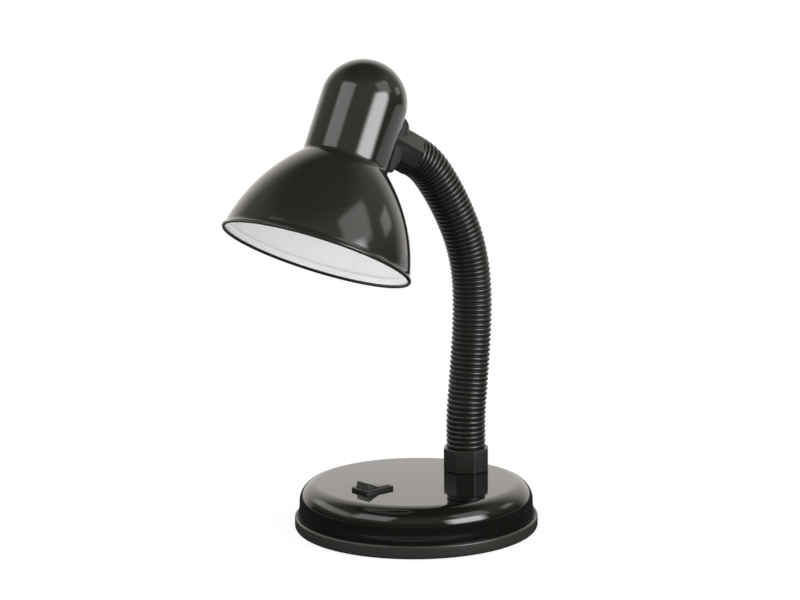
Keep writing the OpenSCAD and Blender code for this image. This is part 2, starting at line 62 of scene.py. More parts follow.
CORNER_R = 0.8  # rounding of the octagons' corners
LEAD_HOLE_R = 5.2
REST_PLACE = "rest_place"  # attribute with each point's place before a piece is bent
BROADER = 14  # how much larger a finish's second, cloudy texture is
BROAD_SHARE = 0.45  # share of that texture
TEXTURE_RANGE = (0.3, 0.7)  # values of the two together that the gloss is spread over
BRUSHED_STRETCH = (1, 1, 0.04)
Points = np.ndarray
Pair = tuple[float, float]
Triple = tuple[float, float, float]
Piece = bpy.types.Object
Socket = bpy.types.NodeSocket
Inputs = dict[str | int, object]


# Shared shapes

def turns(columns: int) -> Points:
    """Evenly spaced angles of a full turn, in radians."""
    return np.arange(columns) * 2 * math.pi / columns


def circle(radius: Points | float, angle: Points) -> Points:
    """Points at radius times (cosine, sine) of each angle."""
    return np.stack([radius * np.cos(angle), radius * np.sin(angle)], axis=-1)


def arc(centre: Pair, radius: float, start: float, end: float, steps: int) -> Points:
    """Points of a circular arc: centre plus radius times (cosine, sine) of evenly spaced angles.

    Args:
        centre: Middle of the circle.
        radius: Its radius.
        start: First angle in degrees.
        end: Last angle in degrees.
        steps: Number of spans.

    Returns:
        An array of steps + 1 points.
    """
    angle = np.radians(np.linspace(start, end, steps + 1))
    return np.array(centre) + circle(radius, angle)


def rounded_line(corners: list[Pair], radii: list[float], steps: int = 5) -> Points:
    """A closed line of straight runs whose corners are replaced by tangent arcs.

    At each corner the arc starts and ends at radius / tan(half the corner's angle) from it, and its
    centre lies on the bisector.

    Args:
        corners: The corner points.
        radii: One rounding radius for each corner, 0 for a sharp one.
        steps: Spans of each arc.

    Returns:
        The points of the rounded line.
    """
    spots = np.array(corners, float)
    runs = []
    for i, radius in enumerate(radii):
        here = spots[i]
        if radius <= 0:
            runs.append(here[None])
            continue
        back, ahead = spots[i - 1] - here, spots[(i + 1) % len(spots)] - here
        back, ahead = back / np.linalg.norm(back), ahead / np.linalg.norm(ahead)
        half = math.acos(float(np.clip(back @ ahead, -1, 1))) / 2
        middle = here + (back + ahead) / np.linalg.norm(back + ahead) * radius / math.sin(half)
        first = here + back * radius / math.tan(half) - middle
        last = here + ahead * radius / math.tan(half) - middle
        share = np.linspace(0, 1, steps + 1)[:, None]
        sweep = math.pi - 2 * half
        swung = first * np.sin((1 - share) * sweep) + last * np.sin(share * sweep)
        runs.append(middle + swung / math.sin(sweep))
    return np.concatenate(runs)


def polygon_ring(sides: int, apothem: float, rounding: float, per_corner: int = 6) -> Points:
    """A regular polygon with rounded corners, one corner on the first axis.

    Each corner is an arc of the rounding radius about a centre at (apothem - rounding) / cos(half side
    angle) from the middle.

    Args:
        sides: Number of sides.
        apothem: Distance from the middle to a side.
        rounding: Radius of the corners.
        per_corner: Spans of each corner's arc.

    Returns:
        The ring's points, anticlockwise.
    """
    half = math.pi / sides
    corner = np.arange(sides)[:, None] * 2 * half
    angle = corner + np.linspace(-half, half, per_corner + 1)[None]
    away = (apothem - rounding) / math.cos(half)
    return (circle(away, corner) + circle(rounding, angle)).reshape(-1, 2)


def box_ring(half_x: float, half_y: float, rounding: float, per_corner: int = 6) -> Points:
    """A rectangle with rounded corners: the middles of its corner arcs plus rounding times (cosine, sine).

    Args:
        half_x: Half its width.
        half_y: Half its length.
        rounding: Radius of the corners.
        per_corner: Spans of each corner's arc.

    Returns:
        The ring's points, anticlockwise.
    """
    quarter = np.arange(4)[:, None] * math.pi / 2
    angle = quarter + np.linspace(0, math.pi / 2, per_corner + 1)[None]
    middles = np.sign(circle(1, quarter + math.pi / 4)) * (half_x - rounding, half_y - rounding)
    return (middles + circle(rounding, angle)).reshape(-1, 2)


def spin(profile: Points, columns: int = 128) -> Points:
    """A profile (radius, height) turned about Z: radius times (cosine, sine) of the turn, and the height."""
    turn = turns(columns)
    return np.dstack([circle(profile[:, :1], turn), profile[:, 1:] + 0 * turn])


def stack(rings: list[Points], heights: list[float]) -> Points:
    """Flat rings of equal count laid one above another at the given heights."""
    levels = zip(rings, heights)
    return np.stack([np.column_stack([ring, np.full(len(ring), height)]) for ring, height in levels])


def turned(points: Points, axis: str, place: Triple = (0, 0, 0)) -> Points:
    """Points made about Z, laid with Z along another axis and moved to a place.

    Args:
        points: Points whose last axis is (x, y, z).
        axis: "x", "y" or "z", the axis that Z turns to.
        place: Where their origin goes.

    Returns:
        The moved points.
    """
    x, y, z = points[..., 0], points[..., 1], points[..., 2]
    laid = {"x": (z, x, y), "y": (y, z, x), "z": (x, y, z)}[axis]
    return np.stack(laid, axis=-1) + np.array(place, float)


class Shell:
    """Grids of points in millimetres joined by quads, gathered into one mesh."""

    def __init__(self) -> None:
        """Starts with nothing."""
        self.points: list[Points] = []
        self.faces: list[list[int]] = []
        self.rest: list[Points] = []
        self.count = 0

    def add(self, points: Points, closed_rows: bool = False, closed_columns: bool = True, caps: str = "",
            rest: Points | None = None) -> "Shell":
        """Adds a grid: quad (i, j) joins points (i, j), (i, j + 1), (i + 1, j + 1) and (i + 1, j).

        Args:
            points: The grid, rows by columns by 3.
            closed_rows: Whether the last row joins the first.
            closed_columns: Whether the last column joins the first.
            caps: "last" or "both" closes the last row, or also the first, with one face.
            rest: Where each point lies on the piece before it is bent, for its texture.

        Returns:
            This shell.
        """
        rows, columns = points.shape[:2]
        index = self.count + np.arange(rows * columns).reshape(rows, columns)
        down = np.roll(index, -1, axis=0) if closed_rows else index[1:]
        up = index if closed_rows else index[:-1]
        if closed_columns:
            quads = np.stack([up, np.roll(up, -1, axis=1), np.roll(down, -1, axis=1), down], axis=-1)
        else:
            quads = np.stack([up[:, :-1], up[:, 1:], down[:, 1:], down[:, :-1]], axis=-1)
        self.faces += quads.reshape(-1, 4).tolist()
        if caps == "both":
            self.faces.append(index[0, ::-1].tolist())
        if caps:
            self.faces.append(index[-1].tolist())
        self.points.append(points.reshape(-1, 3))
        self.rest.append((points if rest is None else rest).reshape(-1, 3))
        self.count += rows * columns
        return self

    def build(self, name: str, sharp: float = 35.0) -> Piece:
        """Makes the object, with merged doubles, outward faces and smooth shading between gentle faces.

        Args:
            name: The piece's name.
            sharp: Angle in degrees above which an edge stays sharp.

        Returns:
            The new object, at the origin.
        """
        mesh = bpy.data.meshes.new(name)
        mesh.from_pydata((np.concatenate(self.points) * MM).tolist(), [], self.faces)
        rest = mesh.attributes.new(REST_PLACE, "FLOAT_VECTOR", "POINT")
        rest.data.foreach_set("vector", (np.concatenate(self.rest) * MM).astype(np.float32).ravel())
        piece = bpy.data.objects.new(name, mesh)
        bpy.context.scene.collection.objects.link(piece)
        tidy(piece, sharp)
        return piece


def tidy(piece: Piece, sharp: float = 35.0, merge: bool = True) -> None:
    """Merges doubles, points the faces outward and sets smooth shading.

    Args:
        piece: The object to tidy.
        sharp: Angle in degrees above which an edge stays sharp.
        merge: Whether doubles are merged and normals worked out again.
    """
    if merge:
        work = bmesh.new()
        work.from_mesh(piece.data)
        bmesh.ops.remove_doubles(work, verts=work.verts, dist=1e-6)
        bmesh.ops.dissolve_degenerate(work, edges=work.edges, dist=1e-7)
        bmesh.ops.recalc_face_normals(work, faces=work.faces)
        if work.calc_volume(signed=True) < 0:
            bmesh.ops.reverse_faces(work, faces=work.faces)
        work.to_mesh(piece.data)
        work.free()
    piece.data.shade_smooth()
    piece.data.set_sharp_from_angle(angle=math.radians(sharp))


class Joining(Enum):
    """How one solid is joined with another."""

    CUT = "DIFFERENCE"
    FUSE = "UNION"


def join_solids(piece: Piece, others: list[Piece], how: Joining, sharp: float = 35.0) -> Piece:
    """Cuts other solids out of a piece, or fuses them with it, and removes them.

    Args:
        piece: The solid that stays.
        others: The solids that are used up.
        how: Cut or fuse.
        sharp: Angle in degrees above which an edge stays sharp.

    Returns:
        The piece, with its new mesh.
    """
    for other in others:
        step = piece.modifiers.new("join", "BOOLEAN")
        step.operation = how.value
        step.solver = "EXACT"
        step.object = other
    bpy.context.view_layer.update()
    mesh = bpy.data.meshes.new_from_object(piece.evaluated_get(bpy.context.evaluated_depsgraph_get()))
    piece.modifiers.clear()
    piece.data = mesh
    for other in others:
        bpy.data.objects.remove(other)
    tidy(piece, sharp, merge=False)
    return piece


def tube(radius: float, low: float, high: float, columns: int = 48) -> Points:
    """Two equal rings about Z, at two heights."""
    return spin(np.array([[radius, low], [radius, high]]), columns)


def rod(name: str, radius: float, low: float, high: float, axis: str, spot: Triple,
        columns: int = 48) -> Piece:
    """A plain round bar along an axis, used to cut a hole or to be fused on."""
    return Shell().add(turned(tube(radius, low, high, columns), axis, spot), caps="both").build(name)


def block(name: str, half: Pair, rounding: float, low: float, high: float, spot: Pair,
          per_corner: int = 2) -> Piece:
    """A plain upright bar with a rounded rectangle for its section, used to cut a slot."""
    bar = stack([box_ring(*half, rounding, per_corner)] * 2, [low, high]) + np.array([*spot, 0])
    return Shell().add(bar, caps="both").build(name)


# Node trees

class Nodes:
    """Adds nodes to a tree, already set and linked."""

    def __init__(self, tree: bpy.types.NodeTree) -> None:
        """Keeps the tree that the nodes go into."""
        self.tree = tree

    def feed(self, node: bpy.types.Node, inputs: Inputs) -> None:
        """Links or sets a node's inputs.

        Args:
            node: The node.
            inputs: What each input gets, by its name or number: a socket is linked, anything else is set.
        """
        for name, value in inputs.items():
            if isinstance(value, Socket):
                self.tree.links.new(value, node.inputs[name])
            else:
                node.inputs[name].default_value = value

    def add(self, kind: str, inputs: Inputs | None = None, **settings: object) -> bpy.types.Node:
        """Adds one node.

        Args:
            kind: The node's type.
            inputs: What its inputs get.
            **settings: Its own settings.

        Returns:
            The new node.
        """
        node = self.tree.nodes.new(kind)
        for name, value in settings.items():
            setattr(node, name, value)
        self.feed(node, inputs or {})
        return node

    def spread(self, value: Socket, ends: Pair, to: Pair, how: str = "SMOOTHSTEP") -> Socket:
        """Takes a value's range to another range.

        Args:
            value: The value.
            ends: Its lowest and highest number.
            to: What those two become.
            how: The way between them, which is a smooth step unless it is "LINEAR".

        Returns:
            The new value.
        """
        limits = dict(zip(("From Min", "From Max", "To Min", "To Max"), (*ends, *to)))
        node = self.add("ShaderNodeMapRange", {"Value": value, **limits}, interpolation_type=how)
        return node.outputs["Result"]

    def math(self, how: str, *values: Socket | float, clamp: bool = True) -> Socket:
        """One sum on one or two values, kept between 0 and 1 unless clamp is off."""
        return self.add("ShaderNodeMath", dict(enumerate(values)), operation=how, use_clamp=clamp).outputs[0]

    def mix(self, share: Socket, first: Socket | tuple, second: Socket | tuple) -> Socket:
        """Goes from the first colour to the second as the share goes from 0 to 1."""
        return self.add("ShaderNodeMix", {0: share, 6: first, 7: second}, data_type="RGBA").outputs[2]


# Finishes

class Grain(Enum):
    """The kind of fine texture on a surface."""

    CLOUD = "cloud"
    CELLS = "cells"
    BRUSHED = "brushed"


@dataclass(frozen=True)
class Finish:
    """A surface finish: its colour, how glossy it is, and its fine texture.

    Attributes:
        name: Name of the material.
        slot: Name of the material slot it belongs to; not used.
        colour: Darker colour.
        lighter: Lighter colour, which the texture mixes in.
        gloss: Lowest and highest roughness.
        grain: Kind of texture.
        scale: Texture features per metre.
        relief: Height of the texture in metres.
        metal: 1 for bare metal.
        bent: Whether the texture follows the piece as it bends.
    """

    name: str
    slot: str
    colour: Triple
    lighter: Triple
    gloss: Pair
    grain: Grain = Grain.CLOUD
    scale: float = 900.0
    relief: float = 0.00001
    metal: float = 0.0
    bent: bool = False

    def build(self) -> bpy.types.Material:
        """Makes the material's nodes: a texture that drives colour, roughness and bump."""
        material = bpy.data.materials.new(self.name)
        material.use_nodes = True
        nodes = Nodes(material.node_tree)
        fine = self._texture(nodes, self.scale, self.grain)
        broad = self._texture(nodes, self.scale / BROADER, Grain.CLOUD)
        both = nodes.add("ShaderNodeMix", {0: BROAD_SHARE, 2: fine, 3: broad}, data_type="FLOAT").outputs[0]
        bump = nodes.add("ShaderNodeBump", {"Strength": 1.0, "Distance": self.relief, "Height": fine})
        nodes.feed(material.node_tree.nodes["Principled BSDF"], {
            "Metallic": self.metal,
            "Base Color": nodes.mix(both, (*self.colour, 1), (*self.lighter, 1)),
            "Roughness": nodes.spread(both, TEXTURE_RANGE, self.gloss, "LINEAR"),
            "Normal": bump.outputs["Normal"]})
        return material

    def _texture(self, nodes: Nodes, scale: float, grain: Grain) -> Socket:
        """Adds one texture on the piece's own coordinates.

        Args:
            nodes: The material's nodes.
            scale: Features per metre.
            grain: Kind of texture.

        Returns:
            The texture's value.
        """
        if self.bent:
            spot = nodes.add("ShaderNodeAttribute", attribute_name=REST_PLACE).outputs["Vector"]
        else:
            spot = nodes.add("ShaderNodeTexCoord").outputs["Object"]
        stretch = BRUSHED_STRETCH if grain is Grain.BRUSHED else (1, 1, 1)
        laid = nodes.add("ShaderNodeMapping", {"Vector": spot, "Scale": stretch}).outputs["Vector"]
        if grain is Grain.CELLS:
            return nodes.add("ShaderNodeTexVoronoi", {"Scale": scale, "Vector": laid}).outputs["Distance"]
        return nodes.add("ShaderNodeTexNoise", {"Scale": scale, "Detail": 3.0, "Vector": laid}).outputs["Fac"]


class Finishes:
    """The lamp's finishes, each made once."""

    GLOSS = Finish("gloss_black_enamel", "black_enamel", (0.0028, 0.0029, 0.0022), (0.0042, 0.0044, 0.0035),
                   (0.045, 0.07), scale=420, relief=0.0000015)
    SHADE = Finish("shade_black_enamel", "black_enamel", (0.0082, 0.0084, 0.0069), (0.0112, 0.0114, 0.0096),
                   (0.05, 0.08), scale=420, relief=0.0000015)
    SATIN = Finish("satin_black_ring", "black_satin", (0.013, 0.0134, 0.0112), (0.019, 0.0194, 0.0165),
                   (0.32, 0.42), scale=2600, relief=0.000004)
    MOULDED = Finish("moulded_black", "black_satin", (0.0068, 0.007, 0.0056), (0.0105, 0.0107, 0.0088),
                     (0.3, 0.4), scale=3200, relief=0.000006)
    ROCKER = Finish("rocker_black", "black_gloss", (0.018, 0.0182, 0.0165), (0.025, 0.0252, 0.023),
                    (0.24, 0.32), scale=3600, relief=0.000004)
    RIBBED = Finish("ribbed_sleeve_black", "ribbed_black", (0.0055, 0.0058, 0.0045), (0.0095, 0.01, 0.0078),
                    (0.26, 0.36), scale=2400, relief=0.000006, bent=True)
    LINER = Finish("white_enamel_inside", "black_enamel", (0.7, 0.7, 0.69), (0.73, 0.73, 0.722),
                   (0.26, 0.32), scale=160, relief=0.0000005)
    FOAM = Finish("black_foam", "foam", (0.018, 0.018, 0.018), (0.045, 0.045, 0.044),
                  (0.85, 0.97), Grain.CELLS, scale=1500, relief=0.00012)
    RUBBER = Finish("black_rubber", "rubber", (0.014, 0.014, 0.013), (0.026, 0.026, 0.025),
                    (0.5, 0.65), scale=2200, relief=0.00001)
    IRON = Finish("cast_iron", "iron", (0.05, 0.05, 0.052), (0.13, 0.13, 0.132),
                  (0.55, 0.75), scale=700, relief=0.00009, metal=0.85)
    ZINC = Finish("zinc_plated_steel", "zinc_steel", (0.42, 0.43, 0.44), (0.6, 0.61, 0.6),
                  (0.24, 0.4), Grain.BRUSHED, scale=1800, relief=0.000006, metal=1.0)
    ALLOY = Finish("link_alloy", "link_alloy", (0.36, 0.36, 0.37), (0.5, 0.5, 0.5),
                   (0.35, 0.5), scale=1200, relief=0.00001, metal=1.0)
    BRASS = Finish("brass", "brass", (0.55, 0.38, 0.14), (0.72, 0.53, 0.24),
                   (0.2, 0.34), scale=900, relief=0.000006, metal=1.0)
    PHENOLIC = Finish("brown_phenolic", "phenolic", (0.028, 0.02, 0.015), (0.05, 0.036, 0.027),
                      (0.3, 0.45), scale=1400, relief=0.000012)
    LEAD = Finish("grey_lead_jacket", "lead_grey", (0.2, 0.205, 0.21), (0.27, 0.275, 0.28),
                  (0.45, 0.6), scale=1800, relief=0.00001)
    BLOCK = Finish("white_terminal_block", "block_white", (0.62, 0.62, 0.58), (0.72, 0.72, 0.69),
                   (0.35, 0.5), scale=1500, relief=0.00001)

    _made: dict[str, bpy.types.Material] = {}

    @classmethod
    def material(cls, finish: Finish) -> bpy.types.Material:
        """The material of a finish, made on first use."""
        if finish.name not in cls._made:
            cls._made[finish.name] = finish.build()
        return cls._made[finish.name]


def place(piece: Piece, finish: Finish, body: str, *nodes: str) -> None:
    """Dresses a piece, lets it ride on a body and says which CAD nodes it stands for.

    Args:
        piece: The finished piece.
        finish: Its finish.
        body: The body it moves with.
        nodes: The CAD nodes that it stands for.
    """
    piece.data.materials.clear()
    piece.data.materials.append(Finishes.material(finish))
    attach(piece, body)
    if nodes:
        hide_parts(*nodes)
    LOG.info("%s: %d faces, %s, on %s", piece.name, len(piece.data.polygons), finish.name, body)


# The lamp's sub-assemblies

@dataclass
class Base:
    """The weighted base: cover, ring and tray, bush, and the screws below. Millimetres."""

    ring_r: float = 75.0
    ring_top_z: float = 8.3
    ring_low_z: float = 0.4
    top_z: float = 28.0
    top_rings: tuple[float, ...] = (0, 8, 20, 32, 44, 52, 57, 60)
    shoulder_r: float = 11.0
    flare: tuple[Pair, ...] = ((0, 14.75), (0.02, 14.3), (0.35, 12.2), (0.7, 9.8), (0.94, 7.55), (0.85, 7.3))
    wall: float = 2.0
    cover_r: float = 73.0
    ledge_z: float = 7.3
    floor_z: float = 4.0
    pad_h: float = 2.0
    stem_y: float = 42.6
    switch_y: float = 34.4
    switch_hole: Pair = (6.65, 9.65)
    post_ring: float = 58.5
    post_r: float = 4.5
    post_turns: tuple[int, ...] = (45, 135, 225, 315)
    tray_screw_r: float = 1.5
    ballast_screw_r: float = 2.0
    ballast_spots: tuple[Triple, ...] = ((-30.0, 0.0, 0.0), (30.0, 0.0, 0.0))
    screw_room: float = 0.2
    bush_z: float = 13.6
    bush_r: float = 3.6
    lip_r: float = 4.8
    cord_r: float = 2.9

    def posts(self) -> list[Triple]:
        """Places of the screw posts: the post ring's radius times (cosine, sine) of their turns."""
        angles = [math.radians(turn) for turn in self.post_turns]
        return [(self.post_ring * math.cos(turn), self.post_ring * math.sin(turn), 0.0) for turn in angles]

    def side(self, inset: float) -> Points:
        """The cover's flat top, quarter-round shoulder, and a wall that flares at its foot.

        Args:
            inset: Distance inside the outer face.

        Returns:
            The line as (radius, height) points, from the middle of the top down.
        """
        edge = self.cover_r - 1
        flat = [(radius, self.top_z - inset) for radius in self.top_rings]
        middle = (edge - self.shoulder_r, self.top_z - self.shoulder_r)
        wall = [(edge - inset + out, height) for out, height in self.flare]
        return np.concatenate([flat, arc(middle, self.shoulder_r - inset, 90, 0, steps=28), wall])

    def cover(self) -> Piece:
        """The glossy cover: its outside and the same line inset by the wall, turned about Z."""
        section = np.concatenate([self.side(0), self.side(self.wall)[::-1]])
        cover = Shell().add(spin(section, columns=192)).build("base_cover_shell", sharp=40)
        under_top = self.top_z - self.wall / 2
        posts = [rod("post", self.post_r, self.floor_z, under_top, "z", spot) for spot in self.posts()]
        join_solids(cover, posts, Joining.FUSE, sharp=40)
        low, high = self.top_z - 4, self.top_z + 1
        pilot_z = (self.floor_z - 1, self.floor_z + 13)
        cuts = [rod("pilot", self.tray_screw_r, *pilot_z, "z", spot, columns=24) for spot in self.posts()]
        bush_y = (self.cover_r - 8, self.cover_r + 4)
        cuts += [rod("bush_hole", self.bush_r, *bush_y, "y", (0, 0, self.bush_z), columns=40),
                 rod("stem_hole", LEAD_HOLE_R, low, high, "z", (0, self.stem_y, 0), columns=46),
                 block("switch_hole", self.switch_hole, 0.3, low, high, (0, -self.switch_y))]
        return join_solids(cover, cuts, Joining.CUT, sharp=40)

    def tray(self) -> Piece:
        """The tray with its proud satin ring: one closed section turned about Z."""
        plate_r, seat_r = self.ring_r - 9, self.cover_r + 0.3
        corners = [(AXIS_R, self.pad_h), (plate_r, self.pad_h), (plate_r, self.ring_low_z),
                   (self.ring_r, self.ring_low_z), (self.ring_r, self.ring_top_z), (seat_r, self.ring_top_z),
                   (seat_r, self.ledge_z), (self.cover_r - 2.3, self.ledge_z), (plate_r, self.ledge_z),
                   (plate_r, self.floor_z), (AXIS_R, self.floor_z)]
        section = rounded_line(corners, [0, 0, 0.6, 2.2, 1.25, 0.3, 0, 0, 0.4, 0.4, 0], steps=7)
        tray = Shell().add(spin(section, columns=192), closed_rows=True).build("base_tray_ring", sharp=40)
        sets = ((self.tray_screw_r, self.posts()), (self.ballast_screw_r, self.ballast_spots))
        cuts = [rod("screw_hole", thread_r + self.screw_room, 0, self.floor_z + 1, "z", spot, columns=24)
                for thread_r, spots in sets for spot in spots]
        return join_solids(tray, cuts, Joining.CUT, sharp=40)

    def bush(self) -> Piece:
        """The cord's rubber bush: a grooved ring with round lips, turned about the hole's axis."""
        rows = [(self.cord_r, -4.0), (self.lip_r, -4.0), (self.lip_r, -2.4), (self.bush_r, -2.4),
                (self.bush_r, 0.86), (self.lip_r, 0.86), (self.lip_r, 2.44), (self.cord_r, 2.44)]
        section = rounded_line(rows, [0.3, 0.6, 0.2, 0, 0, 0.2, 0.8, 0.5])
        ring = turned(spin(section, columns=64), "y", (0, self.cover_r - 1, self.bush_z))
        return Shell().add(ring, closed_rows=True).build("cord_bush")

    def screws(self, name: str, spots: Iterable[Triple], thread_r: float, length: float) -> Piece:
        """Pan head screws with a cross slot, heads down: a domed head and a threaded shank.

        The shank's radius is the thread's radius less a saw-tooth of the height and the turn.

        Args:
            name: The piece's name.
            spots: The middles of the screws.
            thread_r: Radius of the thread.
            length: Length above the tray's underside.

        Returns:
            The screws as one piece.
        """
        head_r, low, dome_r = thread_r + 1.9, self.ring_low_z, 0.9
        pitch, depth, columns = 0.9, 0.32, 24
        slot_long, slot_half, slot_top = head_r * 0.55, 0.35, low + 0.8
        dome = arc((head_r - dome_r, low + dome_r), dome_r, -90, 0, steps=6)
        head = np.concatenate([[[0, low]], dome, [[head_r, self.pad_h]]])
        height = np.linspace(self.pad_h, self.pad_h + length, int(length * 6))[:, None]
        turn = turns(columns)
        saw = np.abs(((height / pitch - turn / (2 * math.pi)) % 1.0) * 2 - 1)
        radius = thread_r - depth * saw
        radius[0] = thread_r * 0.9
        screw = np.concatenate([spin(head, columns), np.dstack([circle(radius, turn), height + 0 * turn])])
        shell = Shell()
        for spot in spots:
            shell.add(screw + np.array(spot), caps="last")
        cuts = [block("cross", half, 0.1, low - 0.5, slot_top, spot[:2])
                for spot in spots for half in ((slot_long, slot_half), (slot_half, slot_long))]
        return join_solids(shell.build(name), cuts, Joining.CUT)

    def build(self) -> None:
        """Makes and dresses the base."""
        place(self.cover(), Finishes.GLOSS, "base", "base_cover")
        place(self.tray(), Finishes.SATIN, "base", "base_tray")
        place(self.bush(), Finishes.RUBBER, "base", "cord_grommet")
        tray_set = self.screws("tray_screw_set", self.posts(), self.tray_screw_r, length=14)
        place(tray_set, Finishes.ZINC, "base", "tray_screws")
        ballast_set = self.screws("ballast_screw_set", self.ballast_spots, self.ballast_screw_r, length=8)
        place(ballast_set, Finishes.ZINC, "base", "ballast_screws")


@dataclass
class Switch:
    """The rocker switch in the top of the base. Millimetres."""

    base: Base
    bezel_x: float = 15.0
    bezel_y: float = 21.0
    bezel_h: float = 2.0
    bezel_wall: float = 1.8
    depth: float = 12.0
    swing: float = 22.0
    pin_r: float = 1.3
    pin_half: float = 6.4
    pin_hole_half: float = 6.9
    pin_room: float = 0.08
    tab: Pair = (2.45, 0.45)
    tab_y: float = 4.2
    gap: float = 0.2
    edge: float = 0.3

    def housing(self) -> Piece:
        """The housing: rounded rectangles stacked from the body's foot to the frame and down its opening."""
        z, top, foot = self.base.top_z, self.base.top_z + self.bezel_h, self.base.top_z - self.depth
        frame_half = np.array([self.bezel_x, self.bezel_y]) / 2
        hole_half = frame_half - self.bezel_wall
        body = [(-0.8, 0.3, foot), (-0.8, 0.3, z - 0.01)]
        outside = [(0, 0.9, z), (0, 0.9, z + 0.9), (0.12, 0.85, z + 1.0), (0.12, 0.85, z + 1.16),
                   (0.02, 0.9, z + 1.28), (0.03, 0.9, top - 0.4), (0.14, 0.8, top - 0.14), (0.45, 0.6, top)]
        inside = [(-0.3, 0.5, top), (-0.05, 0.35, top - 0.15), (0, 0.3, top - 0.4), (0, 0.3, foot + 2)]
        rings, heights = [], []
        for half, part in ((hole_half, body), (frame_half, outside), (hole_half, inside)):
            rings += [box_ring(*(half - inset), rounding) for inset, rounding, _ in part]
            heights += [height for _, _, height in part]
        grid = stack(rings, heights)
        grid[..., 1] -= self.base.switch_y
        housing = Shell().add(grid, caps="both").build("switch_frame", sharp=50)
        pin_hole = (self.pin_r + self.pin_room, -self.pin_hole_half, self.pin_hole_half)
        cuts = [rod("pin_hole", *pin_hole, "x", (0, -self.base.switch_y, z))]
        cuts += [block("tab_hole", self.tab, 0.05, foot - 1, foot + 3, (0, y - self.base.switch_y),
                       per_corner=1) for y in (-self.tab_y, self.tab_y)]
        return join_solids(housing, cuts, Joining.CUT, sharp=50)

    def rocker(self) -> Piece:
        """The rocker, front end up: a winged section carried across the switch, drawn in at both sides.

        Two flat wings rise from the valley over the pivot. Toward each side the section is inset along
        its own normals by the edge's rounding. The whole is turned about X by half the swing.
        """
        half_x = self.bezel_x / 2 - self.bezel_wall - self.gap
        reach = self.bezel_y / 2 - self.bezel_wall - self.gap
        valley, rise = self.bezel_h + 0.6, reach * math.tan(math.radians(self.swing / 2))
        tip, tip_low, foot_y, foot_z = reach * 0.985, -0.8, 3, -5
        corners = [(-tip, valley + rise), (0, valley), (tip, valley + rise), (tip, tip_low), (foot_y, foot_z),
                   (-foot_y, foot_z), (-tip, tip_low)]
        section = rounded_line(corners, [0.45, 0, 0.45, 0.5, 0.5, 0.5, 0.5], steps=6)
        ahead = np.roll(section, -1, axis=0) - np.roll(section, 1, axis=0)
        normal = np.stack([ahead[:, 1], -ahead[:, 0]], axis=-1)
        normal /= np.linalg.norm(normal, axis=1, keepdims=True)
        inward = normal * np.sign(np.sum(normal * (section.mean(axis=0) - section)))
        turn = np.linspace(0, math.pi / 2, 7)
        left = -half_x + self.edge * (1 - np.cos(turn))
        x = np.concatenate([left, -left[::-1]])[:, None]
        inset = np.concatenate([self.edge * (1 - np.sin(turn)), self.edge * (1 - np.sin(turn[::-1]))])
        flat = section + inward * inset[:, None, None]
        tilt = math.radians(-self.swing / 2)
        y = flat[..., 0] * math.cos(tilt) - flat[..., 1] * math.sin(tilt) - self.base.switch_y
        z = flat[..., 0] * math.sin(tilt) + flat[..., 1] * math.cos(tilt) + self.base.top_z
        rocker = Shell().add(np.stack([x + 0 * y, y, z], axis=-1), caps="both").build("rocker_key", sharp=17)
        pivot = (0, -self.base.switch_y, self.base.top_z)
        pin = rod("pin", self.pin_r, -self.pin_half, self.pin_half, "x", pivot)
        return join_solids(rocker, [pin], Joining.FUSE, sharp=17)

    def build(self) -> None:
        """Makes and dresses the switch."""
        place(self.housing(), Finishes.MOULDED, "base", "switch_housing")
        place(self.rocker(), Finishes.ROCKER, "rocker", "switch_rocker")


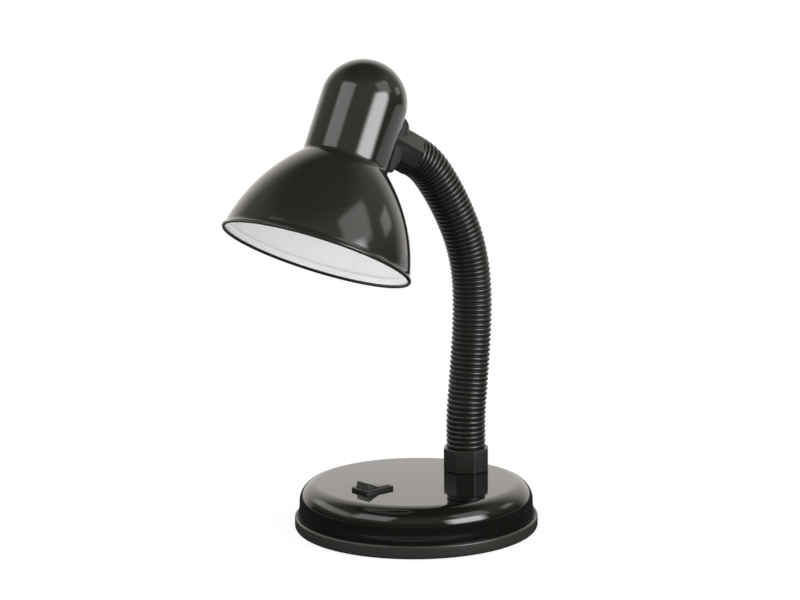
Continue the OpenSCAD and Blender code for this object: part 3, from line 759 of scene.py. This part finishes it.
@dataclass
class NeckLine:
    """The neck's middle line: arcs of even bend, one for each length of the neck. Millimetres and degrees."""

    foot_y: float = 42.6
    foot_z: float = 42.7
    pitch: float = 3.1
    ribs: tuple[int, ...] = (4, 6, 6, 6, 6, 6, 6, 6, 6, 7, 6, 1)
    bends: tuple[float, ...] = (0, -6.5, 0.5, 1, 3, 6.5, 11, 11, 7, 8.5, 25.5, 0)
    starts: Points = field(init=False)
    leans: Points = field(init=False)
    places: Points = field(init=False)

    def __post_init__(self) -> None:
        """Works out where each length starts: the sum of the travels below it."""
        lengths, bends = np.array(self.ribs) * self.pitch, np.radians(self.bends)
        self.starts = np.concatenate([[0], np.cumsum(lengths)])
        self.leans = np.concatenate([[0], np.cumsum(bends)])
        travels = np.cumsum(self.travel(lengths, self.leans[:-1], bends), axis=0)
        self.places = np.array([self.foot_y, self.foot_z]) + np.concatenate([[[0, 0]], travels])

    @staticmethod
    def travel(far: Points, low: Points, bend: Points) -> Points:
        """How far runs of even bend get.

        A bent run gets its length over its bend, times the change of (cosine, sine) of its lean. A straight
        one gets its length times (-sine, cosine) of its lean.

        Args:
            far: Lengths of the runs.
            low: Their leans at the start, in radians.
            bend: How much the lean grows along each.

        Returns:
            One travel (y, z) for each run.
        """
        straight = np.abs(bend) < NO_BEND
        change = circle(1, low + bend) - circle(1, low)
        bent = (far / np.where(straight, 1, bend))[:, None] * change
        ahead = far[:, None] * np.stack([-np.sin(low), np.cos(low)], axis=-1)
        return np.where(straight[:, None], ahead, bent)

    def at(self, along: Points) -> tuple[Points, Points]:
        """The middle line at distances along the neck, where the lean grows evenly within a length.

        Args:
            along: The distances.

        Returns:
            The places (y, z), and the leans in radians.
        """
        section = np.clip(np.searchsorted(self.starts, along, side="right") - 1, 0, len(self.ribs) - 1)
        far, low = along - self.starts[section], self.leans[section]
        bend = np.radians(self.bends)[section] * far / (np.array(self.ribs)[section] * self.pitch)
        return self.places[section] + self.travel(far, low, bend), low + bend

    def carry(self, radius: Points, along: Points, columns: int = 72) -> tuple[Points, Points]:
        """A line (radius, distance along) turned about the neck's middle line.

        A point is the middle line's place plus radius times (cosine along X, sine along the line's normal).

        Args:
            radius: Radii of the line.
            along: Distances along the neck.
            columns: Points round the neck.

        Returns:
            The points, and where they would lie on a straight neck.
        """
        spot, lean = self.at(along)
        rings = circle(radius[:, None], turns(columns))
        x, out = rings[..., 0], rings[..., 1]
        y = spot[:, :1] + out * np.cos(lean)[:, None]
        z = spot[:, 1:] + out * np.sin(lean)[:, None]
        return np.stack([x, y, z], axis=-1), np.stack([x, out, along[:, None] + 0 * x], axis=-1)


@dataclass
class Neck:
    """The bendable neck: a ribbed sleeve in lengths that each span one joint, and its foot collar.

    The lengths in from_above list the upper body first.
    """

    line: NeckLine
    base: Base
    rib_r: float = 12.5
    groove_r: float = 11.3
    bore_r: float = 10.0
    rib_share: float = 0.86
    rib_power: float = 0.85
    collar_d: float = 30.2
    collar_h: float = 14.7
    collar_floor: float = 2.0
    foot_cuff: float = 12.7
    head_cuff: float = 16.8
    joint_half: float = 6.4
    top_joint_half: float = 2.6
    from_above: tuple[int, ...] = (4, 6, 9)

    def profile(self, first: float, last: float) -> tuple[Points, Points]:
        """The closed section of a length of sleeve: rounded ribs outside, a straight bore inside.

        A rib stands on the groove's line by its height times a power of the sine of a half turn.

        Args:
            first: Distance along the neck where the length starts.
            last: Distance where it ends.

        Returns:
            The section's radii, and its distances along the neck.
        """
        pitch, total = self.line.pitch, self.line.starts[-1]
        low, high = max(first, 0) / pitch, min(last, total) / pitch
        ribs = np.arange(math.ceil(low - NO_LENGTH), math.floor(high + NO_LENGTH))[:, None]
        turn = np.radians(np.linspace(180, 0, 10))
        along = ((ribs + 0.5) * pitch + self.rib_share * pitch / 2 * np.cos(turn)).ravel()
        stand = (self.rib_r - self.groove_r) * np.sin(turn) ** self.rib_power
        radius = (self.groove_r + stand + 0 * ribs).ravel()
        inner = np.linspace(last, first, max(4, int((last - first) / pitch) + 1))
        return (np.concatenate([[self.groove_r], radius, [self.groove_r], np.full(len(inner), self.bore_r)]),
                np.concatenate([[first], along, [last], inner]))

    def lengths(self, bodies: list[str]) -> None:
        """Makes the sleeve in pieces from mid-length to mid-length, each spanning its joint.

        Args:
            bodies: The bodies from the base up to the head.
        """
        line = self.line
        cuts = [start + (ribs // 2) * line.pitch for start, ribs in zip(line.starts, line.ribs)]
        joints = len(line.ribs) - 1
        for k in range(1, joints + 1):
            first = -self.foot_cuff if k == 1 else cuts[k - 1]
            last = line.starts[-1] + self.head_cuff if k == joints else cuts[k]
            points, rest = line.carry(*self.profile(first, last))
            name = f"ribbed_sleeve_{k}"
            piece = Shell().add(points, closed_rows=True, rest=rest).build(name, sharp=60)
            piece.data.materials.append(Finishes.material(Finishes.RIBBED))
            (spot,), (lean,) = line.at(line.starts[k:k + 1])
            middle = np.array([0, *spot])
            ahead = np.array([0, -math.sin(lean), math.cos(lean)])
            above = self.top_joint_half if k == joints else self.joint_half
            ends = [(bodies[k - 1], middle - self.joint_half * ahead), (bodies[k], middle + above * ahead)]
            if k in self.from_above:
                ends.reverse()
            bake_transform(piece)
            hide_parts(f"neck_sleeve_{k}", *([f"neck_sleeve_{k + 1}"] if k == joints else []))
            faces = len(piece.data.polygons)
            LOG.info("%s: %d faces, bends from %s to %s", name, faces, bodies[k - 1], bodies[k])

    def collar(self) -> Piece:
        """The octagonal collar: eight-sided rings with rounded corners, then round rings down its bore."""
        apothem = self.collar_d / 2 * math.cos(EIGHTH)
        turn_by = np.array([[math.cos(EIGHTH), math.sin(EIGHTH)], [-math.sin(EIGHTH), math.cos(EIGHTH)]])
        top, floor = self.collar_h, self.collar_floor
        outside = ((0.0, 0.45), (0.4, 0.0), (top - 0.9, 0.0), (top - 0.42, 0.1), (top - 0.12, 0.36),
                   (top, 0.75))
        rings = [polygon_ring(8, apothem - inset, CORNER_R) @ turn_by for _, inset in outside]
        turn = np.arctan2(rings[0][:, 1], rings[0][:, 0])
        bore = ((top, 11.62), (top - 0.2, 11.4), (floor, 11.4), (floor, LEAD_HOLE_R), (0.0, LEAD_HOLE_R))
        rings += [circle(radius, turn) for _, radius in bore]
        spot = np.array([0, self.base.stem_y, self.base.top_z])
        body = stack(rings, [height for height, _ in outside + bore]) + spot
        return Shell().add(body, closed_rows=True).build("foot_collar_octagon", sharp=30)

    def build(self, bodies: list[str]) -> None:
        """Makes and dresses the neck."""
        self.lengths(bodies)
        place(self.collar(), Finishes.MOULDED, "base", "foot_collar")


@dataclass
class Head:
    """The shade, its bracket and the lampholder. Millimetres, in the shade's own frame.

    In that frame Z runs from the rim up the shade's axis and Y points toward the neck.
    """

    line: NeckLine
    neck_r: float = 25.5
    bell_r: float = 100.4
    bell_off: float = 43.5
    bell_drop: float = 15.4
    dome_up: float = 95.5
    wall: float = 1.0
    waist_r: float = 4.0
    bead_r: float = 1.1
    bracket_up: float = 82.0
    reach: float = 43.5
    socket_d: float = 27.0
    socket_floor: float = 26.7
    hug_r: float = 25.55
    saddle_low: float = -19.5
    saddle_half: float = 12.0

    def set_place(self, points: Points) -> Points:
        """Moves points from the shade's frame to the lamp's: a turn about X and a shift.

        Args:
            points: Points whose last axis is (x, y, z).

        Returns:
            The moved points.
        """
        (top_y, top_z), lean = self.line.places[-1], self.line.leans[-1]
        x, in_y, in_z = points[..., 0], points[..., 2] - self.bracket_up, self.reach - points[..., 1]
        return np.stack([x, top_y + in_y * math.cos(lean) - in_z * math.sin(lean),
                         top_z + in_y * math.sin(lean) + in_z * math.cos(lean)], axis=-1)

    def solid(self, name: str, points: Points, sharp: float = 35.0, **how: bool | str) -> Piece:
        """A piece from one grid that is given in the shade's frame."""
        return Shell().add(self.set_place(points), **how).build(name, sharp)

    def bar(self, radius: float, low: float, high: float, side: float = 0.0) -> Piece:
        """A round bar toward the neck, at the bracket's height, used to cut a hole."""
        grid = turned(tube(radius, low, high), "y", (side, 0, self.bracket_up))
        return self.solid("bar", grid, caps="both")

    def outline(self, inset: float, low: float) -> Points:
        """The shade's outline from the top of the dome down to a height above the rim.

        A quarter circle, a straight neck, a small hollow arc at the waist, and a large arc for the bell, each
        tangent to the next and all moved inward by the inset.

        Args:
            inset: Distance inside the outer face.
            low: Height above the rim where the line ends.

        Returns:
            The line as (radius, height) points.
        """
        off, drop, neck_r, bell = self.bell_off, self.bell_drop, self.neck_r - inset, self.bell_r - inset
        waist_x = self.neck_r + self.waist_r
        waist_z = math.sqrt((self.bell_r + self.waist_r) ** 2 - (waist_x + off) ** 2) - drop
        touch = math.degrees(math.atan2(waist_z + drop, waist_x + off))
        end = math.degrees(math.asin((low + drop) / bell))
        dome = arc((0, self.dome_up), neck_r, 90, 0, steps=34)
        dome[0, 0] = 0
        neck = [(neck_r, height) for height in np.linspace(self.dome_up - 2.5, waist_z + 2, 12)]
        waist = arc((waist_x, waist_z), self.waist_r + inset, 180, 180 + touch, steps=12)
        return np.concatenate([dome, neck, waist, arc((-off, -drop), bell, touch, end, steps=34)[1:]])

    def shade_part(self, name: str, section: Points) -> Piece:
        """A section turned about the shade's axis, with the hole of the lead."""
        part = self.solid(name, spin(section, columns=224), sharp=50)
        return join_solids(part, [self.bar(LEAD_HOLE_R, 15, 35)], Joining.CUT, sharp=50)

    def shade_shell(self) -> Piece:
        """The black outside with its rolled edge: outline, round bead, groove, and back up the mid line."""
        bead_z = self.bead_r + 0.6
        rim_r = math.sqrt(self.bell_r ** 2 - (self.bell_drop + bead_z) ** 2) - self.bell_off
        bead_x = rim_r - self.bead_r + 0.8
        bead = arc((bead_x, bead_z), self.bead_r, 62, -222, steps=34)
        inner = self.outline(self.wall * 0.55, bead_z + 0.7)[::-1]
        return self.shade_part("shade_outside", np.concatenate([self.outline(0, bead_z + 1.5), bead, inner]))

    def shade_liner(self) -> Piece:
        """The white inside: the outline inset by the wall, and back just inside the black metal.

        Near the edge the wall steps in a quarter of a millimetre, as a rolled lip does.
        """
        low = self.bead_r + 1.2
        lip = np.linspace(5.9, low, 8)
        lip_r = self.bell_r - self.wall - 0.25
        band = np.stack([np.sqrt(lip_r ** 2 - (lip + self.bell_drop) ** 2) - self.bell_off, lip], axis=-1)
        outside = self.outline(self.wall * 0.6, low)[::-1]
        return self.shade_part("shade_inside", np.concatenate([self.outline(self.wall, 6.2), band, outside]))

    def socket(self) -> Piece:
        """The bracket's socket: eight-sided rings from the shade's neck outward, then round ones inside."""
        apothem, reach = self.socket_d / 2 * math.cos(EIGHTH), self.reach
        rings = []
        for y, inset in ((None, 0.0), (reach - 0.9, 0.0), (reach - 0.42, 0.1), (reach - 0.12, 0.36),
                         (reach, 0.7)):
            ring = polygon_ring(8, apothem - inset, CORNER_R)
            on_neck = np.sqrt(self.hug_r ** 2 - ring[:, 0] ** 2) - 0.6
            rings.append((ring, on_neck if y is None else y))
        turn = np.arctan2(ring[:, 1], ring[:, 0])
        rings += [(circle(radius, turn), y) for radius, y in
                  ((11.6, reach), (11.4, reach - 0.2), (11.4, self.socket_floor))]
        grid = np.stack([np.stack([ring[:, 0], y + 0 * turn, ring[:, 1] + self.bracket_up], axis=-1)
                         for ring, y in rings])
        return self.solid("bracket_socket", grid, sharp=30, caps="both")

    def saddle(self) -> Piece:
        """The bracket's saddle, whose back stands off the shade's neck.

        Its thickness is a table of the height, times a power of the distance to its lower edge, to its crown
        and to its sides, so that it falls to nothing all round. The front lies inside the neck's face.
        """
        across = np.sin(np.linspace(-math.pi / 2, math.pi / 2, 41))
        low, foot, crown_low, top = self.saddle_low, -12, 3, 14
        up = np.concatenate([np.linspace(low, foot, 16), np.linspace(-11, 4, 10), np.linspace(5, top, 24)])
        bottom = np.clip((up - low) / 0.8, 0, 1) ** 0.5
        rise = np.interp(up, [low, foot, 2, top], [1.7, 5.4, 6.0, 6.0])
        crown = np.clip(1 - np.clip((up - crown_low) / (top - crown_low), 0, 1) ** 2.3, 0, 1) ** 0.5
        edge = np.clip(1 - np.abs(across) ** 9, 0, 1) ** (1 / 2.2)
        x = across * self.saddle_half
        hugged = np.sqrt(self.hug_r ** 2 - x ** 2) - 0.4
        full = np.minimum(1, bottom * crown * 1.5)[:, None]
        back = hugged + ((rise * bottom * crown)[:, None] + (self.hug_r - hugged) * full) * edge
        flat, z = 0 * back, up[:, None] + self.bracket_up
        outer, inner = (np.stack([x + flat, y + flat, z + flat], axis=-1) for y in (back, hugged))
        shell = Shell().add(self.set_place(outer), closed_columns=False)
        return shell.add(self.set_place(inner), closed_columns=False).build("bracket_saddle", sharp=40)

    def bracket(self) -> Piece:
        """The bracket: the octagonal socket fused with the saddle that hugs the shade's neck."""
        bracket = join_solids(self.socket(), [self.saddle()], Joining.FUSE, sharp=30)
        cuts = [self.bar(11.37, self.socket_floor, self.reach + 5), self.bar(LEAD_HOLE_R, 10, 40),
                self.solid("shade_neck_room", tube(self.hug_r, 0, 150, columns=192), caps="both")]
        join_solids(bracket, cuts, Joining.CUT, sharp=30)
        bracket.name = "neck_bracket"
        return bracket

    def holder_body(self) -> Piece:
        """The lampholder: a stepped round body with soft edges and a deep mouth, turned about the axis."""
        up = self.bracket_up
        mouth_r, skirt_r, case_r, tail_r = 14.25, 17, 13.5, 5
        corners = [(mouth_r, up - 28), (skirt_r, up - 28), (skirt_r, up - 3), (case_r, up - 3),
                   (case_r, up + 15), (tail_r, up + 15), (tail_r, up + 21), (AXIS_R, up + 21),
                   (AXIS_R, up - 5), (mouth_r, up - 5)]
        section = rounded_line(corners, [0.4, 1.0, 1.2, 0.5, 1.2, 0, 0.4, 0, 0, 0.3])
        body = self.solid("lampholder_case", spin(section, columns=96), sharp=40, closed_rows=True)
        cuts = [self.bar(1.0, 10.5, 15, side=x) for x in (-2.2, 2.2)]
        return join_solids(body, cuts, Joining.CUT, sharp=40)

    def screw_shell(self) -> Piece:
        """The brass screw shell: its radius rises and falls with height and turn, as a rolled thread does."""
        low, high, wave, pitch = self.bracket_up - 27, self.bracket_up - 9, 0.3, 3.62
        crest_r, thickness, fade_h = 13.35, 0.2, 1.2
        height, turn = np.linspace(low, high, 60)[:, None], turns(96)
        fade = np.clip(np.minimum(height - low, high - height) / fade_h, 0, 1)
        inside = crest_r + wave * (1 + np.sin(2 * math.pi * height / pitch - turn) * fade)
        both = np.concatenate([inside, (inside + thickness)[::-1]])
        tall = np.concatenate([height, height[::-1]]) + 0 * turn
        return self.solid("screw_shell", np.dstack([circle(both, turn), tall]), sharp=60, closed_rows=True)

    def contact(self) -> Piece:
        """The centre contact: a brass button on a flat foot, turned about the axis."""
        top, button_r, edge, foot_r, foot_edge = self.bracket_up - 5, 4.1, 0.4, 1.25, 1.0
        section = np.concatenate([[[0, top]], arc((button_r, top - edge), edge, 90, 0, steps=4),
                                  arc((button_r, top - 2.0), edge, 0, -90, steps=4), [[2.25, top - 2.4]],
                                  arc((foot_r, top - 2.6), foot_edge, 0, -90, steps=6), [[0, top - 3.6]]])
        return self.solid("centre_contact", spin(section, columns=48), sharp=40)

    def build(self) -> None:
        """Makes and dresses the head."""
        place(self.shade_shell(), Finishes.SHADE, "head", "shade")
        place(self.shade_liner(), Finishes.LINER, "head", "shade")
        place(self.bracket(), Finishes.MOULDED, "head", "head_bracket")
        place(self.holder_body(), Finishes.PHENOLIC, "head", "lampholder_body")
        place(self.screw_shell(), Finishes.BRASS, "head", "lampholder_shell")
        place(self.contact(), Finishes.BRASS, "head", "lampholder_contact")


@dataclass
class Innards:
    """The CAD nodes that stay as they are, each with its finish."""

    finishes: dict[str, Finish] = field(default_factory=lambda: {
        "ballast_weight": Finishes.IRON, "base_pad": Finishes.FOAM, "terminal_block": Finishes.BLOCK,
        "switch_terminals": Finishes.BRASS, "switch_wires": Finishes.ZINC, "foot_washer": Finishes.ZINC,
        "foot_nut": Finishes.ZINC, "head_nut": Finishes.ZINC, "lampholder_strap": Finishes.ZINC,
        "lampholder_nut": Finishes.ZINC})
    families: dict[str, Finish] = field(default_factory=lambda: {
        "neck_core_": Finishes.ALLOY, "neck_lead_": Finishes.LEAD})

    def build(self) -> None:
        """Gives every CAD node a finish, also those that a new piece stands for."""
        for name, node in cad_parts.items():
            finish = self.finishes.get(name, Finishes.MOULDED)
            for start, family in self.families.items():
                finish = family if name.startswith(start) else finish
            node.data.materials.clear()
            node.data.materials.append(Finishes.material(finish))


# Studio

@dataclass
class Softbox:
    """A rectangular light aimed at a height above the foot, placed by direction. Degrees and metres.

    The azimuth is 0 to the front and 90 to the right. Soft is the share of its sides over which it fades out,
    and mirrored says whether glossy surfaces show it.
    """

    name: str
    azimuth: float
    elevation: float
    width: float
    height: float
    distance: float
    radiance: float
    soft: float = 0.22
    aim_height: float = 0.14
    mirrored: bool = True

    def build(self) -> None:
        """Makes the light: its power is radiance times pi times its area, and it fades toward its edges."""
        target = np.array([0.0, 0.0, self.aim_height])
        light = bpy.data.lights.new(self.name, "AREA")
        light.shape = "RECTANGLE"
        light.size, light.size_y = self.width, self.height
        light.energy = self.radiance * math.pi * self.width * self.height
        lamp = bpy.data.objects.new(self.name, light)
        bpy.context.scene.collection.objects.link(lamp)
        turn, rise = math.radians(self.azimuth), math.radians(self.elevation)
        away = np.array([math.sin(turn) * math.cos(rise), -math.cos(turn) * math.cos(rise), math.sin(rise)])
        lamp.location = target + away * self.distance
        lamp.rotation_euler = Vector(away).to_track_quat("Z", "Y").to_euler()
        lamp.visible_camera = False
        lamp.visible_glossy = self.mirrored
        self._fade(light)

    def _fade(self, light: bpy.types.Light) -> None:
        """Multiplies the light's strength by a smooth step of the distance to its nearest side.

        Args:
            light: The light, whose middle is at 0.5 on both of its own axes.
        """
        light.use_nodes = True
        nodes = Nodes(light.node_tree)
        spot = nodes.add("ShaderNodeNewGeometry").outputs["Parametric"]
        parts = nodes.add("ShaderNodeSeparateXYZ", {0: spot})
        sides = []
        for part in ("X", "Y"):
            off = nodes.math("SUBTRACT", parts.outputs[part], 0.5, clamp=False)
            sides.append(nodes.spread(nodes.math("ABSOLUTE", off), (0.5 - self.soft, 0.5), (1.0, 0.0)))
        nodes.feed(light.node_tree.nodes["Emission"], {"Strength": nodes.math("MULTIPLY", *sides)})


@dataclass
class Studio:
    """Camera, lights, world and floor. Metres, and millimetres for the lens and the sensor.

    The pairs are ranges. The wall fades in between the cosines of wall_fade to its middle. The room's
    brightness goes through room over the heights of room_rise, as sines of the elevation, and down to its
    overhead share over those of room_fall. The floor's share of plain white grows from floor_share to 1 over
    shadow_reach, and its brightness in mirrored rays goes through floor_mirrored over mirrored_reach, a
    painted shade that is dim near the lamp.
    """

    camera_place: Triple = (0.57249, -0.49359, 0.21271)
    camera_right: Triple = (0.64508, 0.76404, -0.01071)
    camera_up: Triple = (-0.0662, 0.0699, 0.9954)
    lens: float = 55.99
    sensor: float = 36.0
    wall_way: Triple = (-0.766, 0.643, 0.0)
    wall_fade: Pair = (0.42, 0.8)
    wall_tone: float = 1.25
    wall_colour: Triple = (1.0, 0.95, 0.91)
    room: Pair = (0.04, 0.4)
    room_rise: Pair = (0.0, 0.5)
    room_fall: Pair = (0.68, 0.93)
    overhead: float = 0.16
    room_colour: Triple = (1.0, 1.0, 0.84)
    floor_half: float = 12.0
    floor_colour: Triple = (0.8, 0.8, 0.8)
    floor_share: float = 0.88
    shadow_reach: Pair = (0.15, 0.9)
    # floor_mirrored: painted shade, the floor's brightness in mirrored rays from near the lamp to far off
    floor_mirrored: Pair = (0.04, 0.9)
    mirrored_reach: Pair = (0.12, 2.2)
    boxes: tuple[Softbox, ...] = (
        Softbox("softbox_right", 99, 15, 1.25, 0.85, 1.4, 11.5, soft=0.3),
        Softbox("softbox_right_top", 112, 38, 1.0, 0.8, 1.4, 1.7, soft=0.2),
        Softbox("softbox_left", 2, 37, 1.15, 0.9, 1.5, 2.6, soft=0.2),
        Softbox("softbox_low_left", -45, 30, 0.62, 0.17, 0.42, 1.8, soft=0.3, aim_height=0.02),
        Softbox("softbox_far_right", 158, 24, 0.6, 0.4, 1.5, 1.5, soft=0.3),
        Softbox("fill_inside", 8, -9, 0.1, 0.1, 0.3, 9.0, soft=0.3, aim_height=0.17, mirrored=False),
    )

    def camera(self) -> None:
        """Makes the camera from its place and its right and up directions."""
        data = bpy.data.cameras.new("photo_view")
        data.lens, data.sensor_width = self.lens, self.sensor
        camera = bpy.data.objects.new("photo_view", data)
        bpy.context.scene.collection.objects.link(camera)
        right, up = Vector(self.camera_right).normalized(), Vector(self.camera_up)
        back = right.cross(up).normalized()
        up = back.cross(right)
        turn = Matrix((right, up, back)).transposed().to_4x4()
        camera.matrix_world = Matrix.Translation(self.camera_place) @ turn
        bpy.context.scene.camera = camera

    def world(self) -> None:
        """White to the camera and to diffuse rays.

        Mirrored rays meet a white wall behind the lamp that fades to a dim room, dark low down and overhead.
        """
        world = bpy.data.worlds.new("studio")
        bpy.context.scene.world = world
        world.use_nodes = True
        nodes = Nodes(world.node_tree)
        way = nodes.add("ShaderNodeTexCoord").outputs["Generated"]
        toward = nodes.add("ShaderNodeVectorMath", {0: way, 1: self.wall_way}, operation="DOT_PRODUCT")
        height = nodes.add("ShaderNodeSeparateXYZ", {0: way}).outputs["Z"]
        room = nodes.math("MULTIPLY", nodes.spread(height, self.room_rise, self.room),
                          nodes.spread(height, self.room_fall, (1.0, self.overhead)))
        tinted = nodes.add("ShaderNodeVectorMath", {0: self.room_colour, "Scale": room}, operation="SCALE")
        wall_light = (*(self.wall_tone * part for part in self.wall_colour), 1)
        near_wall = nodes.spread(toward.outputs["Value"], self.wall_fade, (0.0, 1.0))
        mirrored = nodes.mix(near_wall, tinted.outputs["Vector"], wall_light)
        path = nodes.add("ShaderNodeLightPath")
        plain = nodes.math("MAXIMUM", path.outputs["Is Camera Ray"], path.outputs["Is Diffuse Ray"])
        nodes.feed(world.node_tree.nodes["Background"], {"Color": nodes.mix(plain, mirrored, (1, 1, 1, 1))})

    def floor(self) -> None:
        """A wide floor that looks white, keeps a soft shadow, and in mirrored rays has painted shade, dim
        near the lamp.
        """
        mesh = bpy.data.meshes.new("floor")
        low, high = -self.floor_half, self.floor_half
        mesh.from_pydata([(low, low, 0), (high, low, 0), (high, high, 0), (low, high, 0)], [], [(0, 1, 2, 3)])
        floor = bpy.data.objects.new("floor", mesh)
        bpy.context.scene.collection.objects.link(floor)
        material = bpy.data.materials.new("pale_floor")
        material.use_nodes = True
        material.node_tree.nodes.clear()
        nodes = Nodes(material.node_tree)
        spot = nodes.add("ShaderNodeTexCoord").outputs["Object"]
        far = nodes.add("ShaderNodeVectorMath", {0: spot}, operation="LENGTH").outputs["Value"]
        path = nodes.add("ShaderNodeLightPath")
        straight = nodes.math("ADD", path.outputs["Is Camera Ray"], path.outputs["Is Transmission Ray"])
        seen = nodes.math("MULTIPLY", straight, nodes.spread(far, self.shadow_reach, (self.floor_share, 1.0)))
        share = nodes.math("ADD", seen, path.outputs["Is Glossy Ray"])
        # painted shade: in mirrored rays the floor is dim near the lamp and brighter far off
        mirrored = nodes.spread(far, self.mirrored_reach, self.floor_mirrored)
        glow = nodes.add("ShaderNodeEmission", {"Strength": nodes.math("MAXIMUM", straight, mirrored)})
        pale = nodes.add("ShaderNodeBsdfDiffuse", {"Color": (*self.floor_colour, 1)})
        mixed = nodes.add("ShaderNodeMixShader", {0: share, 1: pale.outputs[0], 2: glow.outputs[0]})
        nodes.add("ShaderNodeOutputMaterial", {"Surface": mixed.outputs[0]})
        mesh.materials.append(material)

    def build(self) -> None:
        """Sets the whole studio and the view transform."""
        self.camera()
        self.world()
        self.floor()
        for box in self.boxes:
            box.build()
        bpy.context.scene.view_settings.view_transform = "Standard"


def main() -> None:
    """Builds the studio and the lamp."""
    logging.basicConfig(level=logging.INFO, format="%(name)s %(message)s")
    Studio().build()
    line = NeckLine()
    base = Base()
    Innards().build()
    base.build()
    Switch(base).build()
    Neck(line, base).build(["base", *[f"neck_{k}" for k in range(2, 12)], "head"])
    Head(line).build()


if __name__ == "__main__":
    main()
